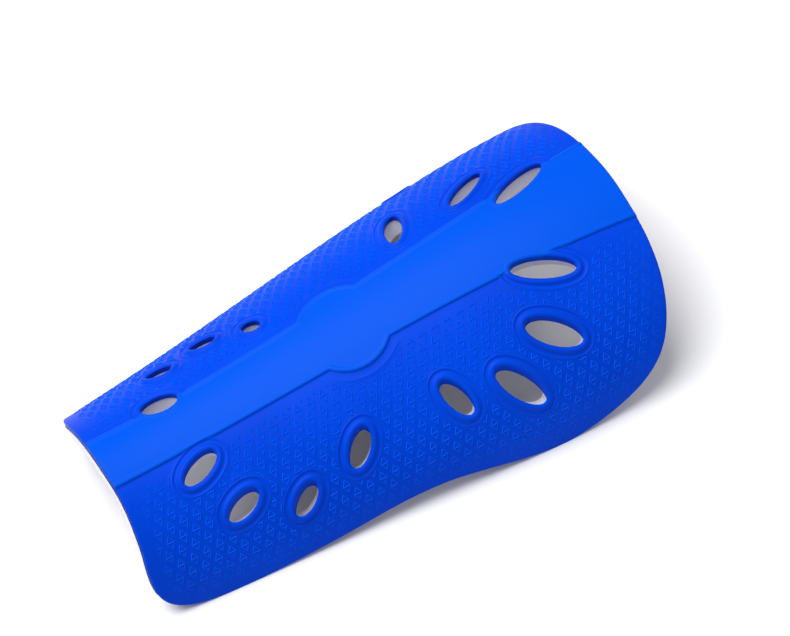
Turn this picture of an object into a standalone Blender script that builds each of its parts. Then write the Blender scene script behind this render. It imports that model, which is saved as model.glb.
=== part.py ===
"""Slip-in shin guard: a moulded plastic shell with a bonded foam liner, lying on its side edges.

Metres, +Z up. Y runs along the leg, from the ankle end at -Y to the knee end at +Y, and +Z points away
from the leg. The origin is under the middle of the guard, on the surface that its side edges rest on.

A place on the shell is given by two distances on its outer face: girth, round the leg from the ridge
line, and along, up the leg from the ridge's middle. A sheet is laid out flat in those two, and wrapped.
"""

import math

import bmesh
import bpy
import numpy as np
from mathutils import Matrix, Vector

MM = 0.001
HALF_LENGTH = 100 * MM

# The section across the leg is half an ellipse. Its size changes along the leg: (middle, slope, bow).
SPAN = (55.5 * MM, 7.9 * MM, -0.9 * MM)
DROP = (51.0 * MM, -1.0 * MM, 6.0 * MM)
# The ridge line of the outer face: its middle height, its rise towards the knee and its slight S.
RIDGE_HEIGHT = 41.5 * MM
RIDGE_RISE = 9.1 * MM
RIDGE_WAVE = -5.8 * MM
# The ankle corners reach further from the ridge's middle than the knee end does.
RIDGE_MIDDLE_Y = 1.9 * MM

SHELL_THICKNESS = 2.2 * MM
FILM_THICKNESS = 0.2 * MM
LINER_THICKNESS = 5.0 * MM
GAP = 0.3 * MM
FILM_DEPTH = SHELL_THICKNESS + GAP
LINER_DEPTH = FILM_DEPTH + FILM_THICKNESS + GAP

# How far the liner and its film stop short of the shell's edge: (at the ankle end, elsewhere). The liner
# shows as a pale strip under the ankle end. Then how much wider their vents are.
SHELL_INSETS = (0.0, 0.0)
LINER_INSETS = (-0.3 * MM, 1.6 * MM)
FILM_INSETS = (3.0 * MM, 3.0 * MM)
LINER_VENT_MARGIN = 0.6 * MM
FILM_VENT_MARGIN = 1.5 * MM

# The +girth half of the flat outline as (girth, along) in millimetres, from the middle of the ankle end,
# round the ankle corner, past the waist and the calf flare, and round the knee corner to the middle of the
# knee end.
OUTLINE = (
    (0, -100.0), (16, -99.9), (31, -101.5),
    (44.5, -103.6), (52, -103.2), (57.3, -100), (61, -93.5), (63.2, -83),
    (64.5, -63), (65.2, -40), (65.8, -15), (68.2, 1.5), (72.4, 15), (77.3, 29), (80.4, 41), (80.4, 50.5),
    (77.6, 63.5), (72.6, 75.8), (65, 85.2),
    (54.2, 91.8), (41, 96.4), (27, 98.8), (12, 99.7), (0, 100.1),
)
# The same for the ankle end on the -girth side, whose corner is not drawn out; the rest is mirrored.
SHORT_ANKLE = (
    (0, -100.0), (16, -100.3), (30, -100.6),
    (41, -100.1), (49, -97.8), (55, -93.6), (59.4, -87), (62, -78.5),
)
ANKLE_CORNER = 4
KNEE_CORNER = 17

# Vents: girth, along, half length, half width (millimetres) and turn from along towards girth (degrees).
VENTS = (
    (17.9, -71.6, 7.5, 3.45, -21),
    (36.0, -64.8, 6.8, 3.6, -21),
    (45.1, -45.1, 6.2, 3.45, -40),
    (39.3, -21.4, 7.0, 3.6, -50),
    (42.2, 14.9, 7.9, 3.45, 71),
    (50.3, 36.1, 10.8, 4.2, 60),
    (40.1, 54.3, 10.5, 4.45, 44),
    (19.2, 62.0, 11.4, 3.85, 28),
    (-11.2, -71.8, 6.6, 3.7, 10),
    (-28.4, -64.8, 4.8, 2.8, 20),
    (-30.2, -46.8, 4.8, 2.8, 19),
    (-22.6, -30.6, 3.5, 2.8, 42),
    (-27.6, 28.7, 8.2, 3.3, -70),
    (-63.7, 42.2, 6.5, 3.6, -58),
    (-26.0, 56.8, 8.8, 3.15, -30),
    (-14.8, 72.3, 11.0, 3.5, -17),
)

ROWS = 30
HALF_COLUMNS = 10
VENT_SIDES = 24
CURVE_SAMPLES = 24
THROUGH_GUARD = 22 * MM
THROUGH_FILM = 9 * MM
FLOOR_CUTTER = (0.4, 0.4, 0.1)
MERGE_DISTANCE = 0.00001

SHELL_BLUE = (0.004, 0.10, 0.85, 1.0)
LINER_GREY = (0.74, 0.72, 0.80, 1.0)
FILM_CLEAR = (0.85, 0.84, 0.80, 1.0)


def clear_scene():
    for item in list(bpy.data.objects):
        bpy.data.objects.remove(item, do_unlink=True)


def new_collection(name):
    collection = bpy.data.collections.new(name)
    bpy.context.scene.collection.children.link(collection)
    return collection


def new_material(name, colour, roughness):
    material = bpy.data.materials.new(name)
    material.use_nodes = True
    shader = material.node_tree.nodes["Principled BSDF"]
    shader.inputs["Base Color"].default_value = colour
    shader.inputs["Roughness"].default_value = roughness
    shader.inputs["Metallic"].default_value = 0.0
    return material


def new_object(name, mesh, collection, material=None):
    item = bpy.data.objects.new(name, mesh)
    collection.objects.link(item)
    if material is not None:
        mesh.materials.append(material)
    return item


def along_share(along):
    return along / HALF_LENGTH


def grown(size, along):
    share = along_share(along)
    return size[0] + size[1] * share + size[2] * share * share


def ridge_height(along):
    share = along_share(along)
    return RIDGE_HEIGHT + RIDGE_RISE * share + RIDGE_WAVE * share**3


def section_angle(girth, along):
    """The ellipse's parameter at an arc distance from the ridge line, by Newton steps on its length."""
    span, drop = grown(SPAN, along), grown(DROP, along)
    angle = girth / span
    nodes, weights = np.polynomial.legendre.leggauss(8)
    for _ in range(5):
        turns = angle * (nodes + 1) / 2
        speeds = np.hypot(span * np.cos(turns), drop * np.sin(turns))
        length = float(speeds @ weights) * angle / 2
        angle += (girth - length) / math.hypot(span * math.cos(angle), drop * math.sin(angle))
    return angle


def outer_point(girth, along):
    angle = section_angle(girth, along)
    height = ridge_height(along) - grown(DROP, along) * (1 - math.cos(angle))
    return Vector((grown(SPAN, along) * math.sin(angle), RIDGE_MIDDLE_Y + along, height))


def surface_axes(girth, along):
    """Unit vectors of the outer face: towards more girth, along the leg, and outwards."""
    step = 0.5 * MM
    round_leg = (outer_point(girth + step, along) - outer_point(girth - step, along)).normalized()
    up_leg = outer_point(girth, along + step) - outer_point(girth, along - step)
    outward = round_leg.cross(up_leg).normalized()
    return round_leg, outward.cross(round_leg).normalized(), outward


def wrapped(girth, along, depth):
    return outer_point(girth, along) - surface_axes(girth, along)[2] * depth


def smooth_curve(points, closed_tangents):
    """A cubic through the points, CURVE_SAMPLES steps from each to the next."""
    before, after = closed_tangents
    padded = [before, *points, after]
    curve = []
    for p0, p1, p2, p3 in zip(padded, padded[1:], padded[2:], padded[3:]):
        chord = (p2 - p1).length
        leave = (p2 - p0) * (chord / ((p2 - p1).length + (p1 - p0).length))
        arrive = (p3 - p1) * (chord / ((p3 - p2).length + (p2 - p1).length))
        for step in range(CURVE_SAMPLES):
            t = step / CURVE_SAMPLES
            h = 2 * t**3 - 3 * t**2 + 1
            curve.append(p1 * h + p2 * (1 - h) + leave * (t**3 - 2 * t**2 + t) + arrive * (t**3 - t**2))
    return [*curve, points[-1]]


def half_outline(insets, side):
    """One half of the flat outline, moved inwards by its two insets, as dense points with girth >= 0."""
    ankle_inset, other_inset = insets
    corners = OUTLINE if side > 0 else SHORT_ANKLE + OUTLINE[len(SHORT_ANKLE) :]
    points = [Vector(corner) * MM for corner in corners]
    mirrored = [Vector((-points[i].x, points[i].y)) for i in (1, -2)]
    curve = smooth_curve(points, mirrored)
    moved = []
    for i, point in enumerate(curve):
        back, ahead = curve[max(i - 1, 0)], curve[min(i + 1, len(curve) - 1)]
        tangent = (ahead - back).normalized()
        if i in (0, len(curve) - 1):
            tangent = Vector((1 if i == 0 else -1, 0))
        at_ankle = max(tangent.x, 0.0)
        inset = ankle_inset * at_ankle + other_inset * (1 - at_ankle)
        moved.append(point + Vector((-tangent.y, tangent.x)) * inset)
    return moved


def evenly(points, count):
    """count + 1 points at equal distances along a polyline."""
    lengths = [0.0]
    for a, b in zip(points, points[1:]):
        lengths.append(lengths[-1] + (b - a).length)
    found = []
    for i in range(count + 1):
        target = lengths[-1] * i / count
        k = min(int(np.searchsorted(lengths, target, side="right")), len(points) - 1)
        share = (target - lengths[k - 1]) / (lengths[k] - lengths[k - 1])
        found.append(points[k - 1].lerp(points[k], min(share, 1.0)))
    return found


def flat_grid(insets, side):
    """Rows of (girth, along) points that fill half the outline, from the ridge line to the edge."""
    curve = half_outline(insets, side)
    ankle_end = evenly(curve[: ANKLE_CORNER * CURVE_SAMPLES + 1], HALF_COLUMNS)
    side_edge = evenly(curve[ANKLE_CORNER * CURVE_SAMPLES : KNEE_CORNER * CURVE_SAMPLES + 1], ROWS)
    knee_end = evenly(curve[KNEE_CORNER * CURVE_SAMPLES :], HALF_COLUMNS)[::-1]
    ridge = [ankle_end[0].lerp(knee_end[0], i / ROWS) for i in range(ROWS + 1)]
    rows = []
    for i in range(ROWS + 1):
        s = i / ROWS
        row = []
        for j in range(HALF_COLUMNS + 1):
            v = j / HALF_COLUMNS
            ends = ankle_end[j].lerp(knee_end[j], s)
            sides = ridge[i].lerp(side_edge[i], v)
            corners = ankle_end[0].lerp(ankle_end[-1], v).lerp(knee_end[0].lerp(knee_end[-1], v), s)
            row.append(ends + sides - corners)
        rows.append(row)
    return rows


def wrapped_sheet(name, depth, insets):
    """An open sheet that lies at a depth under the outer face, with its faces pointing out."""
    mesh = bpy.data.meshes.new(name)
    bm = bmesh.new()
    for side in (1, -1):
        grid = []
        for row in flat_grid(insets, side):
            grid.append([bm.verts.new(wrapped(side * point.x, point.y, depth)) for point in row])
            grid[-1][0].co.x = 0.0
        for low, high in zip(grid, grid[1:]):
            for j in range(HALF_COLUMNS):
                bm.faces.new((low[j], low[j + 1], high[j + 1], high[j])[::side])
    bmesh.ops.remove_doubles(bm, verts=bm.verts, dist=MERGE_DISTANCE)
    bm.to_mesh(mesh)
    bm.free()
    mesh.shade_smooth()
    return mesh


def layer(name, depth, insets, thickness, vent_cutter, floor_cutter, collection, material):
    """One layer of the guard: a sheet with thickness, pierced by the vents and cut level."""
    item = new_object(name, wrapped_sheet(name, depth, insets), collection, material)
    solid = item.modifiers.new("thickness", "SOLIDIFY")
    solid.thickness = thickness
    solid.offset = -1.0
    solid.use_even_offset = True
    for cutter in (vent_cutter, floor_cutter):
        cut = item.modifiers.new(cutter.name, "BOOLEAN")
        cut.operation = "DIFFERENCE"
        cut.solver = "EXACT"
        cut.object = cutter
    return item


def vent_matrix(vent, margin, depth, along_draw):
    """Places a unit cylinder on a vent: square to the face, or with its walls along the mould's draw."""
    girth, along, half_length, half_width, turn = vent
    round_leg, up_leg, outward = surface_axes(girth * MM, along * MM)
    turn = math.radians(turn)
    major = up_leg * math.cos(turn) + round_leg * math.sin(turn)
    minor = round_leg * math.cos(turn) - up_leg * math.sin(turn)
    through = Vector((0, 0, 1)) if along_draw else outward
    columns = (
        major * (half_length * MM + margin),
        minor * (half_width * MM + margin),
        through * depth,
    )
    placed = Matrix(columns).transposed().to_4x4()
    middle = outer_point(girth * MM, along * MM)
    placed.translation = middle - Vector((0, 0, SHELL_THICKNESS)) * (not along_draw)
    return placed


def vent_cutter(name, margin, depth, along_draw, collection):
    bm = bmesh.new()
    for vent in VENTS:
        made = bmesh.ops.create_cone(
            bm, cap_ends=True, segments=VENT_SIDES, radius1=1.0, radius2=1.0, depth=1.0
        )
        bmesh.ops.transform(bm, matrix=vent_matrix(vent, margin, depth, along_draw), verts=made["verts"])
    bmesh.ops.recalc_face_normals(bm, faces=bm.faces)
    return cutter_object(name, bm, collection)


def floor_cutter(name, collection):
    """A block under the resting plane, which levels the lowest stretches of the side edges."""
    bm = bmesh.new()
    lowered = Matrix.Translation((0, 0, -FLOOR_CUTTER[2] / 2))
    bmesh.ops.create_cube(bm, size=1.0, matrix=lowered @ Matrix.Diagonal((*FLOOR_CUTTER, 1.0)))
    return cutter_object(name, bm, collection)


def cutter_object(name, bm, collection):
    mesh = bpy.data.meshes.new(name)
    bm.to_mesh(mesh)
    bm.free()
    item = new_object(name, mesh, collection)
    item.hide_render = True
    item.display_type = "WIRE"
    return item


def main():
    clear_scene()
    parts = new_collection("shin_guard")
    cutters = new_collection("cutters")
    shell_vents = vent_cutter("shell_vents", 0.0, THROUGH_GUARD, True, cutters)
    liner_vents = vent_cutter("liner_vents", LINER_VENT_MARGIN, THROUGH_GUARD, False, cutters)
    film_vents = vent_cutter("film_vents", FILM_VENT_MARGIN, THROUGH_FILM, False, cutters)
    floor = floor_cutter("floor_block", cutters)
    blue = new_material("shell_plastic", SHELL_BLUE, 0.32)
    grey = new_material("liner_foam", LINER_GREY, 0.85)
    clear = new_material("film_glue", FILM_CLEAR, 0.5)
    layer("shell", 0.0, SHELL_INSETS, SHELL_THICKNESS, shell_vents, floor, parts, blue)
    layer("adhesive_film", FILM_DEPTH, FILM_INSETS, FILM_THICKNESS, film_vents, floor, parts, clear)
    layer("foam_liner", LINER_DEPTH, LINER_INSETS, LINER_THICKNESS, liner_vents, floor, parts, grey)


main()
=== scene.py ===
"""Looks of the slip-in shin guard: its moulded shell with all the relief, its foam liner and a studio.

Places on the guard are worked out flat, in millimetres, as (girth, along): girth is the distance round the
leg from the ridge line, and along the distance up the leg from the ridge's middle. They are then wrapped on
the outer face. Only the finished meshes, the lights and the camera are in metres.
"""

import math

import bmesh
import bpy
import numpy as np
from mathutils import Matrix, Vector
from mathutils.geometry import delaunay_2d_cdt


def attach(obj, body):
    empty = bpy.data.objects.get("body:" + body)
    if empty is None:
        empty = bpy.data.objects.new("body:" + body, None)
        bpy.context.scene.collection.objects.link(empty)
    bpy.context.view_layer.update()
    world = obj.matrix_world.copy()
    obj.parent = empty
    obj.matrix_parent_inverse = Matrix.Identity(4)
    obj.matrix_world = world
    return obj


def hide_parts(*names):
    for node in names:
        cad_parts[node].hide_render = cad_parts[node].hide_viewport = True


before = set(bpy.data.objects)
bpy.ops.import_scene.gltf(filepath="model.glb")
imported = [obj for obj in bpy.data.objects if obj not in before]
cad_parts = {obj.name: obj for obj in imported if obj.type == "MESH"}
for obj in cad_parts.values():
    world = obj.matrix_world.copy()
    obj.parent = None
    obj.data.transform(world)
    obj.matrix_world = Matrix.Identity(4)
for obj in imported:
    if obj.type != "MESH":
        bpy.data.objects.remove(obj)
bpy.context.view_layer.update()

MM = 0.001

# ---- The outer face: half an ellipse across the leg, whose size changes along it. ----
# Sizes that change along the leg are (middle, slope, bow).
HALF_LENGTH = 100.0
SPAN = (55.5, 7.9, -0.9)
DROP = (51.0, -1.0, 6.0)
RIDGE_HEIGHT = 41.5
RIDGE_RISE = 9.1
RIDGE_WAVE = -5.8
RIDGE_MIDDLE_Y = 1.9
AXIS_STEP = 0.5
ANGLE_ROUNDS = 5
QUADRATURE = np.polynomial.legendre.leggauss(8)

# ---- The outline. ----
# Its +girth half, from the middle of the ankle end round the side to the middle of the knee end.
OUTLINE = (
    (0, -100.0), (16, -99.9), (31, -101.5),
    (44.5, -103.6), (52, -103.2), (57.3, -100), (61, -93.5), (63.2, -83),
    (64.5, -63), (65.2, -40), (65.8, -15), (68.2, 1.5), (72.4, 15), (77.3, 29), (80.4, 41), (80.4, 50.5),
    (77.6, 63.5), (72.6, 75.8), (65, 85.2),
    (54.2, 91.8), (41, 96.4), (27, 98.8), (12, 99.7), (0, 100.1),
)
# The same for the ankle end on the -girth side, whose corner is not drawn out; the rest is mirrored.
SHORT_ANKLE = (
    (0, -100.0), (16, -100.3), (30, -100.6),
    (41, -100.1), (49, -97.8), (55, -93.6), (59.4, -87), (62, -78.5),
)
OUTLINE_STEPS = 12

# ---- Vents: girth, along, half length, half width, and turn from along towards girth in degrees. ----
VENTS = (
    (17.9, -71.6, 7.5, 3.45, -21),
    (36.0, -64.8, 6.8, 3.6, -21),
    (45.1, -45.1, 6.2, 3.45, -40),
    (39.3, -21.4, 7.0, 3.6, -50),
    (42.2, 14.9, 7.9, 3.45, 71),
    (50.3, 36.1, 10.8, 4.2, 60),
    (40.1, 54.3, 10.5, 4.45, 44),
    (19.2, 62.0, 11.4, 3.85, 28),
    (-11.2, -71.8, 6.6, 3.7, 10),
    (-28.4, -64.8, 4.8, 2.8, 20),
    (-30.2, -46.8, 4.8, 2.8, 19),
    (-22.6, -30.6, 3.5, 2.8, 42),
    (-27.6, 28.7, 8.2, 3.3, -70),
    (-63.7, 42.2, 6.5, 3.6, -58),
    (-26.0, 56.8, 8.8, 3.15, -30),
    (-14.8, 72.3, 11.0, 3.5, -17),
)
VENT_SIDES = 64

# ---- Sheets: how deep each face lies under the outer face. ----
SHELL_THICKNESS = 2.2
LINER_OUTER = 3.0
LINER_INNER = 8.0
LINER_VENT_MARGIN = 0.6

# ---- The raised centre band: half its width (middle, slope, bow), and the round bulge at its waist. ----
BAND = (12.2, 4.05, 2.55)
BULGE_GIRTH = 1.6
BULGE_ALONG = -5.6
BULGE_RADIUS = 15.6
# Distance outwards from the band's edge, and the height there.
BAND_PROFILE = (
    (-2.7, 0.50), (-2.2, 0.47), (-1.85, 0.50), (-1.4, 0.72), (-0.8, 0.80), (-0.3, 0.70), (-0.08, 0.50),
    (0.08, 0.04), (0.35, -0.03), (1.3, -0.03), (2.35, -0.04), (2.65, 0.06), (2.95, 0.16), (3.25, 0.07),
    (3.6, 0.0),
)
# The channel and line outside the edge are there only round the bulge: where they fade out along the leg,
# and from where outwards they count.
BULGE_FADE = (9.0, 17.0)
CHANNEL_SIDE = (0.35, 1.3)
BAND_STEP = 1.6
BULGE_STEPS = 48
# The band's plain look ends over these distances from its edge.
PLAIN_SIDE = (-0.1, 0.3)

# Distance outwards from a vent's edge, and the height there: a rounded rim, a channel and a thin line.
VENT_PROFILE = (
    (0.0, -0.10), (0.12, 0.20), (0.40, 0.46), (1.0, 0.64), (1.5, 0.62), (1.95, 0.36), (2.25, 0.0),
    (2.55, -0.14), (3.0, -0.18), (3.45, -0.14), (3.65, 0.05), (3.88, 0.17), (4.1, 0.08), (4.4, 0.0),
)
VENT_REACH = 4.4
NEAR_VENT = 16.0
VENT_FADE = (3.5, 4.9)
# On the band a vent has only its rim. Where the band counts, by distance from its edge, and its rim's foot.
BAND_SIDE = (-0.9, 0.1)
BEAD_FADE = (0.9, 2.2)

# Distance inwards from the shell's edge, where its rounding is followed.
EDGE_ROUND = 0.8
EDGE_STEPS = (0.0, 0.06, 0.2, 0.45, 0.8, 1.6)
# The rest of the rim as (inset, depth), down to the inner face.
SHELL_RIM = ((0.0, 2.0), (0.06, 2.15))
SHELL_INNER_INSET = 0.15

# The liner's skived edge as (inset, depth), from the outer face to the inner one. At the ankle end it is
# cut square and reaches further out. Its outer face rises to the shell in a lip round the film.
LINER_RIM = ((1.6, 2.22), (1.6, 4.2), (1.8, 4.7), (2.6, 5.9), (3.6, 7.2), (4.3, 7.8), (5.0, 8.0))
LINER_ANKLE_RIM = (-0.3, -0.3, -0.3, -0.25, -0.15, 0.1, 0.6)
LINER_VENT_RIM = ((0.0, 2.22), (0.0, 7.4), (0.12, 7.8), (0.5, 8.0))
LIP_WIDTH = 0.7

# ---- The diamond relief: rows along the leg, each shifted half a pitch. ----
DIAMOND_PITCH = 4.88
DIAMOND_ROW = 4.37
DIAMOND_START = (0.5, 3.0)
DIAMOND_HALF_ALONG = 1.28
DIAMOND_HALF_GIRTH = 2.3
DIAMOND_LINE = 0.25
DIAMOND_HEIGHT = 0.30
# The relief gets lower, and its painted highlight weaker, towards the shell's edge: from and to these
# distances, down to this share.
DIAMOND_FADE = (1.0, 15.0, 0.25)
DIAMOND_VENT_MARGIN = 0.25
DIAMOND_BAND_MARGIN = 0.35
# The smooth border along the shell's edge: places up the leg, and its width there.
DIAMOND_BORDER = ((-100.0, -60.0, 0.0, 60.0), (4.6, 3.8, 2.4, 1.0))
LINE_SAMPLES = 9
SUNK = 0.08

LATTICE_SPACING = 3.0
LINER_SPACING = 3.6
LATTICE_CLEARANCE = 0.6
MERGE_DISTANCE = 0.0005
SHARP_ANGLE = math.radians(50)
DRAW_ROUNDS = 12


def grown(size, along):
    share = along / HALF_LENGTH
    return size[0] + size[1] * share + size[2] * share**2


def unit(vectors):
    return vectors / np.linalg.norm(vectors, axis=-1, keepdims=True)


def outer_face(places):
    """Points of the outer face at (girth, along). The ellipse's angle comes from its arc length."""
    girth, along = places[:, 0], places[:, 1]
    span, drop = grown(SPAN, along), grown(DROP, along)
    nodes, weights = QUADRATURE
    angle = girth / span
    for _ in range(ANGLE_ROUNDS):
        turns = angle[:, None] * (nodes + 1) / 2
        speeds = np.hypot(span[:, None] * np.cos(turns), drop[:, None] * np.sin(turns))
        length = speeds @ weights * angle / 2
        angle = angle + (girth - length) / np.hypot(span * np.cos(angle), drop * np.sin(angle))
    share = along / HALF_LENGTH
    ridge = RIDGE_HEIGHT + RIDGE_RISE * share + RIDGE_WAVE * share**3
    height = ridge - drop * (1 - np.cos(angle))
    return np.column_stack((span * np.sin(angle), RIDGE_MIDDLE_Y + along, height))


def face_axes(places):
    """Unit vectors of the outer face: towards more girth, up the leg, and outwards."""
    girth_step, along_step = np.array((AXIS_STEP, 0)), np.array((0, AXIS_STEP))
    across = unit(outer_face(places + girth_step) - outer_face(places - girth_step))
    up_leg = outer_face(places + along_step) - outer_face(places - along_step)
    outward = unit(np.cross(across, up_leg))
    return across, np.cross(outward, across), outward


def wrapped(places, heights):
    """Points at heights over the outer face, levelled where they would go under the resting plane."""
    points = outer_face(places) + face_axes(places)[2] * np.reshape(heights, (-1, 1))
    points[:, 2] = np.maximum(points[:, 2], 0.0)
    return points


# ---- Flat curves ----


def closed_curve(corners, steps):
    """A smooth closed curve through the corners, with steps points from each to the next."""
    p0, p1, p2, p3 = (np.roll(corners, shift, axis=0)[:, None] for shift in (1, 0, -1, -2))
    before = np.linalg.norm(p1 - p0, axis=2, keepdims=True)
    chord = np.linalg.norm(p2 - p1, axis=2, keepdims=True)
    after = np.linalg.norm(p3 - p2, axis=2, keepdims=True)
    leave = (p2 - p0) * chord / (chord + before)
    arrive = (p3 - p1) * chord / (chord + after)
    t = (np.arange(steps) / steps)[None, :, None]
    start = 2 * t**3 - 3 * t**2 + 1
    curve = p1 * start + p2 * (1 - start) + leave * (t**3 - 2 * t**2 + t) + arrive * (t**3 - t**2)
    return curve.reshape(-1, 2)


def inset(curve, distance):
    """The closed curve moved to its inner side, or outwards if the distance is negative."""
    tangent = unit(np.roll(curve, -1, axis=0) - np.roll(curve, 1, axis=0))
    return curve + np.column_stack((-tangent[:, 1], tangent[:, 0])) * distance


def full_outline():
    mirrored = np.array(SHORT_ANKLE + OUTLINE[len(SHORT_ANKLE) :], float)[-2:0:-1] * (-1, 1)
    return closed_curve(np.vstack((OUTLINE, mirrored)), OUTLINE_STEPS)


def vent_curve(vent):
    girth, along, half_length, half_width, turn = vent
    turn = math.radians(turn)
    major = np.array((math.sin(turn), math.cos(turn)))
    minor = np.array((-math.cos(turn), math.sin(turn)))
    angle = np.arange(VENT_SIDES)[:, None] * 2 * math.pi / VENT_SIDES
    lengthwise = half_length * np.cos(angle) * major
    return (girth, along) + lengthwise + half_width * np.sin(angle) * minor


OUTLINE_CURVE = full_outline()
VENT_CURVES = [vent_curve(vent) for vent in VENTS]


def depth_inside(curve, places):
    """How far inside a closed curve each place lies; negative outside it."""
    nearest = np.full(len(places), np.inf)
    inside = np.zeros(len(places), bool)
    for a, b in zip(curve, np.roll(curve, -1, axis=0)):
        side, offset = b - a, places - a
        share = np.clip(offset @ side / (side @ side), 0, 1)
        gap = offset - share[:, None] * side
        nearest = np.minimum(nearest, (gap**2).sum(axis=1))
        crosses = (a[1] > places[:, 1]) != (b[1] > places[:, 1])
        inside ^= crosses & (offset[:, 0] < offset[:, 1] * side[0] / (side[1] or 1.0))
    return np.where(inside, 1, -1) * np.sqrt(nearest)


def vent_distance(places, curves=None, reach=NEAR_VENT):
    """Distance to the nearest vent's edge, negative in a vent, and at most reach."""
    nearest = np.full(len(places), reach)
    for curve in curves or VENT_CURVES:
        near = np.linalg.norm(places - curve.mean(axis=0), axis=1) < 2 * reach
        nearest[near] = np.minimum(nearest[near], -depth_inside(curve, places[near]))
    return nearest


def band_distance(places):
    """Distance outwards from the raised band's edge, negative on the band."""
    girth, along = np.abs(places[:, 0]), places[:, 1]
    taper = girth - grown(BAND, along)
    bulge = np.hypot(girth - BULGE_GIRTH, along - BULGE_ALONG) - BULGE_RADIUS
    return np.minimum(taper, bulge)


def band_line(offset, side):
    """The line at a distance outwards from the band's edge, over the whole length of the outline."""
    radius = BULGE_RADIUS + offset
    along = np.arange(OUTLINE_CURVE[:, 1].min(), OUTLINE_CURVE[:, 1].max(), BAND_STEP)
    turns = np.linspace(-1, 1, BULGE_STEPS) * math.pi / 2
    along = np.unique(np.concatenate((along, BULGE_ALONG + radius * np.sin(turns))))
    bulge = BULGE_GIRTH + np.sqrt(np.maximum(radius**2 - (along - BULGE_ALONG) ** 2, 0))
    bulge[np.abs(along - BULGE_ALONG) > radius] = 0
    return np.column_stack((side * np.maximum(grown(BAND, along) + offset, bulge), along))


def smooth_step(values, low, high):
    share = np.clip((values - low) / (high - low), 0, 1)
    return share * share * (3 - 2 * share)


def relief(places):
    """Height of the moulding over the plain face: the band, the vent rims and the rounded edge."""
    vent, edge = vent_distance(places), depth_inside(OUTLINE_CURVE, places)
    band = band_distance(places)
    on_band = 1 - smooth_step(band, *BAND_SIDE)
    band_height = np.interp(band, *zip(*BAND_PROFILE))
    by_bulge = 1 - smooth_step(np.abs(places[:, 1] - BULGE_ALONG), *BULGE_FADE)
    band_height = band_height * (1 - (1 - by_bulge) * smooth_step(band, *CHANNEL_SIDE))
    ring = np.interp(vent, *zip(*VENT_PROFILE))
    in_field = band_height * smooth_step(vent, *VENT_FADE) + ring
    height = in_field + (np.maximum(band_height * smooth_step(vent, *BEAD_FADE), ring) - in_field) * on_band
    left = np.clip(EDGE_ROUND - edge, 0, EDGE_ROUND)
    return height - (EDGE_ROUND - np.sqrt(EDGE_ROUND**2 - left**2))


def band_smoothness_and_highlight(places):
    """1 on the plain band, 0 on the field round it. It sets the band's smoother finish and its painted
    highlight.
    """
    return 1 - smooth_step(band_distance(places), *PLAIN_SIDE)


# ---- Meshes ----


class Skin:
    """The points, marks and faces of one piece, gathered part by part."""

    def __init__(self, name):
        self.name = name
        self.points, self.marks, self.faces = [], [], []
        self.count = 0

    def add(self, points, mark=0.0, line=0.0):
        """Adds points and returns their numbers. Mark and line go to the material."""
        numbers = np.arange(self.count, self.count + len(points))
        self.points.append(points)
        self.marks.append(np.column_stack(np.broadcast_arrays(mark, line, np.zeros(len(points))))[:, :2])
        self.count += len(points)
        return numbers

    def bridge(self, upper, lower):
        """Faces between two closed rows that run counter-clockwise as seen from outside, upper row first."""
        for i in range(len(upper)):
            j = (i + 1) % len(upper)
            self.faces.append((upper[i], lower[i], lower[j], upper[j]))

    def build(self, material):
        mesh = bpy.data.meshes.new(self.name)
        points = np.vstack(self.points) * MM
        mesh.from_pydata(points.tolist(), [], [[int(i) for i in face] for face in self.faces])
        for column, name in enumerate(("plain", "line")):
            values = np.vstack(self.marks)[:, column].astype(np.float32)
            mesh.attributes.new(name, "FLOAT", "POINT").data.foreach_set("value", values)
        mesh.shade_smooth()
        mesh.set_sharp_from_angle(angle=SHARP_ANGLE)
        mesh.materials.append(material)
        item = bpy.data.objects.new(self.name, mesh)
        bpy.context.scene.collection.objects.link(item)
        remove_spare(mesh)
        return item


def remove_spare(mesh):
    """Removes points that no face uses."""
    bm = bmesh.new()
    bm.from_mesh(mesh)
    bmesh.ops.delete(bm, geom=[v for v in bm.verts if not v.link_faces], context="VERTS")
    bm.to_mesh(mesh)
    bm.free()


def lattice(spacing):
    """Evenly spread places over the outline's box, in staggered rows."""
    low, high = OUTLINE_CURVE.min(axis=0), OUTLINE_CURVE.max(axis=0)
    row = spacing * math.sqrt(3) / 2
    places = []
    for i, along in enumerate(np.arange(low[1], high[1], row)):
        girth = np.arange(low[0] + (i % 2) * spacing / 2, high[0], spacing)
        places.append(np.column_stack((girth, np.full(len(girth), along))))
    return np.vstack(places)


def triangulated(loops, lines, spare, keep):
    """Triangles along closed loops and open lines, over the places that keep allows.

    Returns the places, the triangles (counter-clockwise) and the numbers of each loop's places."""
    corners, edges, firsts = [], [], []
    for curve, closed in [(loop, True) for loop in loops] + [(line, False) for line in lines]:
        first = len(corners)
        firsts.append(first)
        corners.extend(curve)
        count = len(curve)
        edges.extend((first + i, first + (i + 1) % count) for i in range(count if closed else count - 1))
    corners.extend(spare)
    vectors = [Vector(corner) for corner in corners]
    found, _, faces, origins, _, _ = delaunay_2d_cdt(vectors, edges, [], 0, MERGE_DISTANCE, True)
    places, triangles = np.array([tuple(v) for v in found]), np.array(faces)
    a, b, c = (places[triangles[:, i]] for i in range(3))
    turned = (b - a)[:, 0] * (c - a)[:, 1] - (b - a)[:, 1] * (c - a)[:, 0] < 0
    triangles[turned] = triangles[turned][:, ::-1]
    triangles = triangles[keep((a + b + c) / 3)]
    number = {}
    for new, olds in enumerate(origins):
        for old in olds:
            number[old] = new
    rows = [np.array([number[first + i] for i in range(len(loop))]) for first, loop in zip(firsts, loops)]
    return places, triangles, rows


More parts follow.
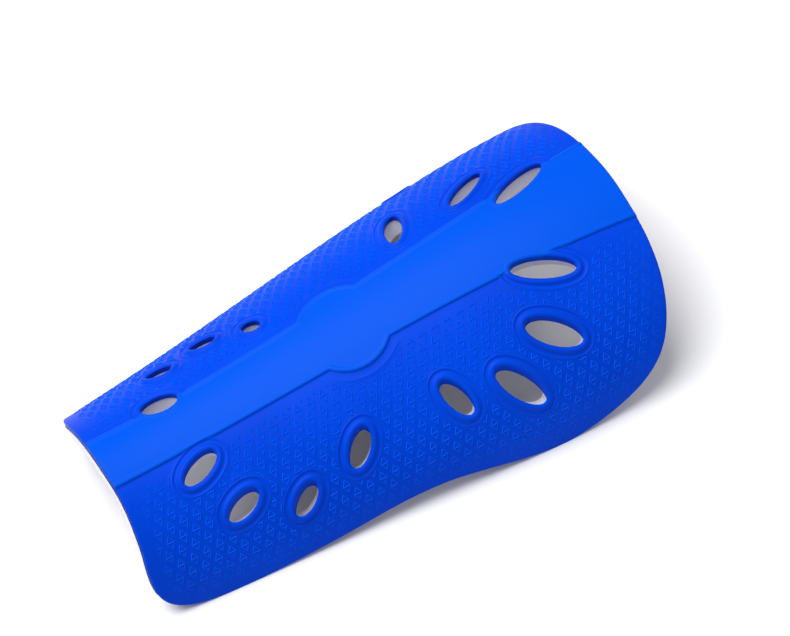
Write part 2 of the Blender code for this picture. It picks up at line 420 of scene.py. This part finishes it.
def places_under(points, places, depth):
    """Places, at a depth under the outer face, that lie straight below the points."""
    places = places.copy()
    for _ in range(DRAW_ROUNDS):
        here = outer_face(places) - face_axes(places)[2] * depth
        across, up_leg, _ = face_axes(places)
        places[:, 0] += (points[:, 0] - here[:, 0]) / across[:, 0]
        places[:, 1] += (points[:, 1] - here[:, 1]) / up_leg[:, 1]
    return places


def make_shell(material):
    skin = Skin("shell_moulding")
    spare = lattice(LATTICE_SPACING)
    clear = vent_distance(spare) > VENT_REACH + LATTICE_CLEARANCE
    band = band_distance(spare)
    on_band = band < BAND_PROFILE[0][0] - LATTICE_CLEARANCE
    clear &= on_band | (band > BAND_PROFILE[-1][0] + LATTICE_CLEARANCE)
    clear &= depth_inside(OUTLINE_CURVE, spare) > EDGE_STEPS[-1] + LATTICE_CLEARANCE
    loops = [inset(OUTLINE_CURVE, step) for step in EDGE_STEPS]
    for curve in VENT_CURVES:
        loops.extend(inset(curve, -distance) for distance, _ in VENT_PROFILE)
    lines = [band_line(offset, side) for side in (1, -1) for offset, _ in BAND_PROFILE]

    def on_face(places):
        return (depth_inside(OUTLINE_CURVE, places) > 0) & (vent_distance(places) > 0)

    places, triangles, rows = triangulated(loops, lines, spare[clear], on_face)
    # The band mark sets the band's smoother finish and its painted highlight in the material.
    outer = skin.add(wrapped(places, relief(places)), mark=band_smoothness_and_highlight(places))
    skin.faces.extend(outer[triangles].tolist())
    rim = outer[rows[0]]
    vent_tops = rows[len(EDGE_STEPS) :: len(VENT_PROFILE)]

    for distance, depth in SHELL_RIM:
        row = skin.add(wrapped(inset(OUTLINE_CURVE, distance), -depth))
        skin.bridge(row, rim)
        rim = row
    holes = []
    for top, curve in zip(vent_tops, VENT_CURVES):
        points = np.vstack(skin.points)[outer[top]]
        holes.append(places_under(points, curve, SHELL_THICKNESS))

    def on_inner_face(places):
        return (depth_inside(loops[0], places) > SHELL_INNER_INSET) & (vent_distance(places, holes) > 0)

    border = inset(OUTLINE_CURVE, SHELL_INNER_INSET)
    spare = spare[depth_inside(OUTLINE_CURVE, spare) > SHELL_INNER_INSET + LATTICE_CLEARANCE]
    spare = spare[vent_distance(spare, holes) > LATTICE_CLEARANCE]
    places, triangles, rows = triangulated([border, *holes], [], spare, on_inner_face)
    inner = skin.add(wrapped(places, -SHELL_THICKNESS))
    skin.faces.extend(inner[triangles][:, ::-1].tolist())
    skin.bridge(inner[rows[0]], rim)
    for top, bottom in zip(vent_tops, rows[1:]):
        skin.bridge(outer[top], inner[bottom])
    add_diamonds(skin)
    return skin.build(material)


def diamond_lines():
    """Start and end places of every line of the relief: each diamond's four sides and its diagonals."""
    tips = np.array(((DIAMOND_HALF_GIRTH, 0), (0, DIAMOND_HALF_ALONG), (-DIAMOND_HALF_GIRTH, 0)))
    tips = np.vstack((tips, (0, -DIAMOND_HALF_ALONG)))
    starts = np.vstack((tips, tips[:2]))
    ends = np.vstack((np.roll(tips, -1, axis=0), tips[2:]))
    low, high = OUTLINE_CURVE.min(axis=0), OUTLINE_CURVE.max(axis=0)
    first_row, first_along = DIAMOND_START
    centres = []
    for row in range(1, int(high[0] / DIAMOND_ROW) + 1):
        shift = 0.0 if row % 2 else DIAMOND_PITCH / 2
        count = int(high[1] / DIAMOND_PITCH) + 2
        along = first_along + shift + DIAMOND_PITCH * np.arange(-count, count)
        girth = np.full(len(along), first_row + row * DIAMOND_ROW)
        centres.extend((np.column_stack((girth, along)), np.column_stack((-girth, along))))
    centres = np.vstack(centres)[:, None]
    return (centres + starts).reshape(-1, 2), (centres + ends).reshape(-1, 2)


def clipped(starts, ends):
    """The lines cut where they reach a vent's ring, the band's ridge or the shell's edge."""
    share = np.linspace(0, 1, LINE_SAMPLES)
    samples = starts[:, None] + (ends - starts)[:, None] * share[None, :, None]
    flat = samples.reshape(-1, 2)
    room = depth_inside(OUTLINE_CURVE, flat) - np.interp(flat[:, 1], *DIAMOND_BORDER)
    room = np.minimum(room, vent_distance(flat) - VENT_REACH - DIAMOND_VENT_MARGIN)
    room = np.minimum(room, band_distance(flat) - BAND_PROFILE[-1][0] - DIAMOND_BAND_MARGIN)
    clear = room.reshape(-1, LINE_SAMPLES) > 0
    from_start = np.cumprod(clear, axis=1).sum(axis=1) - 1
    from_end = LINE_SAMPLES - np.cumprod(clear[:, ::-1], axis=1).sum(axis=1)
    rows = np.arange(len(starts))
    whole = clear.all(axis=1)
    begins = (from_start > 0) & ~whole
    finishes = (from_end < LINE_SAMPLES - 1) & ~whole & ~begins
    last = np.where(begins, from_start, LINE_SAMPLES - 1)
    first = np.where(finishes, from_end, 0)
    used = whole | begins | finishes
    return samples[rows, first][used], samples[rows, last][used]


def add_diamonds(skin):
    """Each line is a low ridge with a sharp top, let a little into the face."""
    starts, ends = clipped(*diamond_lines())
    across = unit(ends - starts)[:, ::-1] * (-DIAMOND_LINE, DIAMOND_LINE)
    rows = []
    for places in (starts, ends):
        low, high, least = DIAMOND_FADE
        # The fade lowers each ridge and also dims its painted highlight in the material.
        fade = least + (1 - least) * smooth_step(depth_inside(OUTLINE_CURVE, places), low, high)
        rows.append(skin.add(wrapped(places + across, np.full(len(places), -SUNK)), line=fade))
        rows.append(skin.add(wrapped(places - across, np.full(len(places), -SUNK)), line=fade))
        rows.append(skin.add(wrapped(places, DIAMOND_HEIGHT * fade), line=fade))
    for left, right, top, far_left, far_right, far_top in zip(*rows):
        skin.faces.append((left, top, far_top, far_left))
        skin.faces.append((top, right, far_right, far_top))
        skin.faces.append((left, right, top))
        skin.faces.append((far_left, far_top, far_right))
        skin.faces.append((left, far_left, far_right, right))


def liner_vents():
    """The liner's holes: wider than the shell's, and square to the face under each vent's middle."""
    curves = []
    for curve in VENT_CURVES:
        middle = curve.mean(axis=0)[None]
        across, up_leg, _ = face_axes(middle)
        shift = -SHELL_THICKNESS * np.array((across[0, 2], up_leg[0, 2]))
        curves.append(inset(curve, -LINER_VENT_MARGIN) + shift)
    return curves


def liner_border(row):
    """The liner's outline at one row of its rim."""
    tangent = unit(np.roll(OUTLINE_CURVE, -1, axis=0) - np.roll(OUTLINE_CURVE, 1, axis=0))
    at_ankle = np.maximum(tangent[:, :1], 0)
    return inset(OUTLINE_CURVE, LINER_RIM[row][0] * (1 - at_ankle) + LINER_ANKLE_RIM[row] * at_ankle)


def make_liner(material):
    skin = Skin("liner_foam")
    holes = liner_vents()
    spare = lattice(LINER_SPACING)

    def sheet(row, hole_margin, edge_depth, depth):
        border = liner_border(row)
        edges = [inset(hole, -hole_margin) for hole in holes]
        lips = [inset(border, LIP_WIDTH), *(inset(edge, -LIP_WIDTH) for edge in edges)]

        def on_sheet(places):
            return (depth_inside(border, places) > 0) & (vent_distance(places, edges) > 0)

        clear = depth_inside(border, spare) > LIP_WIDTH + LATTICE_CLEARANCE
        clear &= vent_distance(spare, edges) > LIP_WIDTH + LATTICE_CLEARANCE
        places, triangles, rows = triangulated([border, *edges, *lips], [], spare[clear], on_sheet)
        room = np.minimum(depth_inside(border, places), vent_distance(places, edges))
        depths = edge_depth + (depth - edge_depth) * smooth_step(room, 0, LIP_WIDTH)
        numbers = skin.add(wrapped(places, -depths))
        return numbers[triangles], [numbers[row] for row in rows[: len(edges) + 1]]

    top, top_rows = sheet(0, LINER_VENT_RIM[0][0], LINER_RIM[0][1], LINER_OUTER)
    bottom, bottom_rows = sheet(-1, LINER_VENT_RIM[-1][0], LINER_INNER, LINER_INNER)
    skin.faces.extend(top.tolist())
    skin.faces.extend(bottom[:, ::-1].tolist())
    rim = top_rows[0]
    for number, (_, depth) in enumerate(LINER_RIM[1:-1], start=1):
        row = skin.add(wrapped(liner_border(number), -depth), mark=1.0)
        skin.bridge(row, rim)
        rim = row
    skin.bridge(bottom_rows[0], rim)
    for hole, above, below in zip(holes, top_rows[1:], bottom_rows[1:]):
        for margin, depth in LINER_VENT_RIM[1:-1]:
            row = skin.add(wrapped(inset(hole, -margin), -depth), mark=1.0)
            skin.bridge(above, row)
            above = row
        skin.bridge(above, below)
    return skin.build(material)


# ---- Materials ----


class Recipe:
    """A new Principled material and short calls that add its nodes."""

    def __init__(self, name):
        self.material = bpy.data.materials.new(name)
        self.material.use_nodes = True
        self.tree = self.material.node_tree
        self.shader = self.tree.nodes["Principled BSDF"]
        self.place = self.node("ShaderNodeTexCoord").outputs["Object"]

    def node(self, kind, **settings):
        made = self.tree.nodes.new(kind)
        for key, value in settings.items():
            setattr(made, key, value)
        return made

    def link(self, source, target):
        self.tree.links.new(source, target)

    def noise(self, size_mm, detail=3.0, stretch=(1, 1, 1)):
        """Noise whose features are about size_mm across."""
        mapping = self.node("ShaderNodeMapping")
        mapping.inputs["Scale"].default_value = stretch
        self.link(self.place, mapping.inputs["Vector"])
        made = self.node("ShaderNodeTexNoise")
        made.inputs["Scale"].default_value = 1 / (size_mm * MM)
        made.inputs["Detail"].default_value = detail
        self.link(mapping.outputs["Vector"], made.inputs["Vector"])
        return made.outputs["Fac"]

    def ranged(self, value, low, high, to_low, to_high):
        made = self.node("ShaderNodeMapRange")
        settings = {"From Min": low, "From Max": high, "To Min": to_low, "To Max": to_high}
        for key, number in settings.items():
            made.inputs[key].default_value = number
        self.link(value, made.inputs["Value"])
        return made.outputs["Result"]

    def mixed(self, share, first, second):
        """A colour between two, each a colour or another node's output."""
        made = self.node("ShaderNodeMix", data_type="RGBA")
        self.link(share, made.inputs["Factor"])
        for key, colour in (("A", first), ("B", second)):
            socket = next(s for s in made.inputs if s.name == key and s.type == "RGBA")
            if isinstance(colour, tuple):
                socket.default_value = (*colour, 1.0)
            else:
                self.link(colour, socket)
        return next(s for s in made.outputs if s.type == "RGBA")

    def maths(self, operation, first, second):
        made = self.node("ShaderNodeMath", operation=operation)
        for socket, value in zip(made.inputs, (first, second)):
            if isinstance(value, (int, float)):
                socket.default_value = value
            else:
                self.link(value, socket)
        return made.outputs["Value"]

    def mark(self, name):
        return self.node("ShaderNodeAttribute", attribute_name=name).outputs["Fac"]

    def bump(self, height, depth_mm, strength=1.0, under=None):
        made = self.node("ShaderNodeBump")
        made.inputs["Distance"].default_value = depth_mm * MM
        made.inputs["Strength"].default_value = strength
        self.link(height, made.inputs["Height"])
        if under is not None:
            self.link(under, made.inputs["Normal"])
        return made.outputs["Normal"]

    def set(self, **values):
        for key, value in values.items():
            self.shader.inputs[key.replace("_", " ")].default_value = value


FIELD_BLUE = (0.0, 0.052, 0.60)
FIELD_BLUE_DEEP = (0.0, 0.044, 0.54)
# Painted highlight: the band is the same plastic as the field, painted lighter because it faces the light.
BAND_BLUE_PAINTED_HIGHLIGHT = (0.0, 0.072, 0.60)
# Painted highlight: the diamond ridge lines are painted lighter, standing in for the glint along their tops.
LINE_BLUE_PAINTED_HIGHLIGHT = (0.002, 0.105, 0.80)
RUBBED_BLUE = (0.006, 0.085, 0.66)


def shell_plastic():
    """Moulded polypropylene: satin, with a very fine grain, faint flow streaks and rubbed high spots. The
    top band and the diamond ridge lines are painted a lighter blue as painted highlights.
    """
    look = Recipe("shell_plastic_blue")
    cloudy = look.noise(38, detail=2)
    streaks = look.noise(9, detail=4, stretch=(1, 0.12, 1))
    scuffs = look.noise(2.2, detail=5, stretch=(1, 0.25, 1))
    plain, line = look.mark("plain"), look.mark("line")
    field = look.mixed(look.ranged(cloudy, 0.35, 0.65, 0, 1), FIELD_BLUE, FIELD_BLUE_DEEP)
    # Painted highlight: the band is painted lighter than the field round it.
    colour = look.mixed(plain, field, BAND_BLUE_PAINTED_HIGHLIGHT)
    # Painted highlight on the diamond ridge lines, weaker towards the shell's edge.
    colour = look.mixed(look.maths("MULTIPLY", line, 0.75), colour, LINE_BLUE_PAINTED_HIGHLIGHT)
    rubbed = look.ranged(streaks, 0.5, 0.7, 0, 0.25)
    worn = look.maths("MULTIPLY", look.ranged(scuffs, 0.60, 0.75, 0, 1), rubbed)
    colour = look.mixed(worn, colour, RUBBED_BLUE)
    look.link(colour, look.shader.inputs["Base Color"])
    gloss = look.ranged(streaks, 0.3, 0.7, 0.34, 0.42)
    gloss = look.maths("SUBTRACT", gloss, look.maths("MULTIPLY", plain, 0.06))
    gloss = look.maths("ADD", gloss, look.maths("MULTIPLY", worn, 0.5))
    look.link(gloss, look.shader.inputs["Roughness"])
    grain = look.bump(look.noise(0.35, detail=2), 0.012)
    waves = look.bump(look.noise(16, detail=1), 0.10, under=grain)
    look.link(waves, look.shader.inputs["Normal"])
    look.set(Specular_IOR_Level=0.03)
    return look.material


FOAM = (0.70, 0.69, 0.78)
FOAM_LIGHT = (0.80, 0.79, 0.86)
FOAM_SPECK = (0.52, 0.50, 0.60)


def liner_foam():
    """Closed-cell foam sheet: matt, finely speckled, a little lighter where it is cut."""
    look = Recipe("liner_foam_grey")
    specks = look.ranged(look.noise(0.55, detail=3), 0.52, 0.68, 0, 1)
    cells = look.noise(0.25, detail=1)
    cloudy = look.ranged(look.noise(30, detail=2), 0.35, 0.65, 0, 0.5)
    base = look.mixed(cloudy, FOAM, FOAM_LIGHT)
    colour = look.mixed(look.maths("MULTIPLY", specks, 0.45), base, FOAM_SPECK)
    colour = look.mixed(look.maths("MULTIPLY", look.mark("plain"), 0.6), colour, FOAM_LIGHT)
    look.link(colour, look.shader.inputs["Base Color"])
    look.link(look.ranged(cells, 0.3, 0.7, 0.82, 0.95), look.shader.inputs["Roughness"])
    pores = look.bump(cells, 0.05)
    dents = look.bump(look.noise(14, detail=2), 0.25, under=pores)
    look.link(dents, look.shader.inputs["Normal"])
    look.set(Specular_IOR_Level=0.3, Sheen_Weight=0.12, Sheen_Roughness=0.6)
    return look.material


GLUE = (0.72, 0.71, 0.66)
GLUE_LIGHT = (0.86, 0.85, 0.82)


def film_glue():
    """Clear adhesive film with its bond's fine mottling."""
    look = Recipe("film_glue_clear")
    mottle = look.noise(1.4, detail=4)
    look.link(look.mixed(mottle, GLUE, GLUE_LIGHT), look.shader.inputs["Base Color"])
    look.link(look.ranged(mottle, 0.3, 0.7, 0.35, 0.6), look.shader.inputs["Roughness"])
    look.link(look.bump(mottle, 0.03), look.shader.inputs["Normal"])
    return look.material


def floor_paper():
    """Seamless studio paper."""
    look = Recipe("studio_paper")
    tooth = look.noise(1.2, detail=4)
    look.link(look.mixed(tooth, *PAPER), look.shader.inputs["Base Color"])
    look.link(look.ranged(tooth, 0.3, 0.7, 0.80, 0.95), look.shader.inputs["Roughness"])
    return look.material


# ---- Studio, in metres ----

FLOOR_SIZE = 14.0
PAPER = ((0.80, 0.80, 0.81), (0.84, 0.84, 0.85))
CAMERA_DISTANCE = 1.4
CAMERA_AZIMUTH = 71.22
CAMERA_ELEVATION = 56.35
CAMERA_ROLL = -12.05
CAMERA_LENS = 189.26
CAMERA_AIM_RIGHT = 0.01274
CAMERA_AIM_UP = -0.00037
WORLD_COLOUR = (0.97, 0.98, 1.0, 1.0)
WORLD_STRENGTH = 0.36
# Softboxes: azimuth, elevation, distance, size and power.
SOFTBOXES = (
    (-50, 68, 1.6, 1.7, 41.0),
    (150, 40, 1.9, 1.4, 3.0),
    (40, 20, 2.0, 1.2, 1.5),
)


def ridge_middle():
    return Vector((0, RIDGE_MIDDLE_Y, RIDGE_HEIGHT)) * MM


def direction(azimuth, elevation):
    """A unit vector: azimuth 0 is -Y and 90 is +X."""
    azimuth, elevation = math.radians(azimuth), math.radians(elevation)
    flat = math.cos(elevation)
    return Vector((flat * math.sin(azimuth), -flat * math.cos(azimuth), math.sin(elevation)))


def facing(location, target, roll=0.0):
    """A matrix at a location whose -Z looks at the target, rolled counter-clockwise by degrees."""
    turn = (target - location).to_track_quat("-Z", "Y").to_matrix().to_4x4()
    return Matrix.Translation(location) @ turn @ Matrix.Rotation(math.radians(roll), 4, "Z")


def make_camera():
    middle = ridge_middle()
    location = middle + direction(CAMERA_AZIMUTH, CAMERA_ELEVATION) * CAMERA_DISTANCE
    straight = facing(location, middle, CAMERA_ROLL)
    aim = middle + straight.col[0].xyz * CAMERA_AIM_RIGHT + straight.col[1].xyz * CAMERA_AIM_UP
    data = bpy.data.cameras.new("camera")
    data.lens = CAMERA_LENS
    camera = bpy.data.objects.new("camera", data)
    camera.matrix_world = facing(location, aim, CAMERA_ROLL)
    bpy.context.scene.collection.objects.link(camera)
    bpy.context.scene.camera = camera


def make_floor():
    mesh = bpy.data.meshes.new("studio_floor")
    half = FLOOR_SIZE / 2
    corners = [(-half, -half, 0), (half, -half, 0), (half, half, 0), (-half, half, 0)]
    mesh.from_pydata(corners, [], [(0, 1, 2, 3)])
    mesh.materials.append(floor_paper())
    floor = bpy.data.objects.new("studio_floor", mesh)
    bpy.context.scene.collection.objects.link(floor)


def make_lights():
    world = bpy.data.worlds.new("studio")
    bpy.context.scene.world = world
    world.use_nodes = True
    backdrop = world.node_tree.nodes["Background"]
    backdrop.inputs["Color"].default_value = WORLD_COLOUR
    backdrop.inputs["Strength"].default_value = WORLD_STRENGTH
    for number, (azimuth, elevation, distance, size, power) in enumerate(SOFTBOXES):
        data = bpy.data.lights.new(f"softbox_{number}", "AREA")
        data.shape = "DISK"
        data.size = size
        data.energy = power
        light = bpy.data.objects.new(data.name, data)
        middle = ridge_middle()
        light.matrix_world = facing(middle + direction(azimuth, elevation) * distance, middle)
        bpy.context.scene.collection.objects.link(light)
    bpy.context.scene.view_settings.view_transform = "Standard"


# ---- Assembly ----

shell = make_shell(shell_plastic())
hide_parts("shell")
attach(shell, "root")

liner = make_liner(liner_foam())
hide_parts("foam_liner")
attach(liner, "root")

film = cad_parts["adhesive_film"]
film.data.materials.clear()
film.data.materials.append(film_glue())

make_floor()
make_lights()
make_camera()
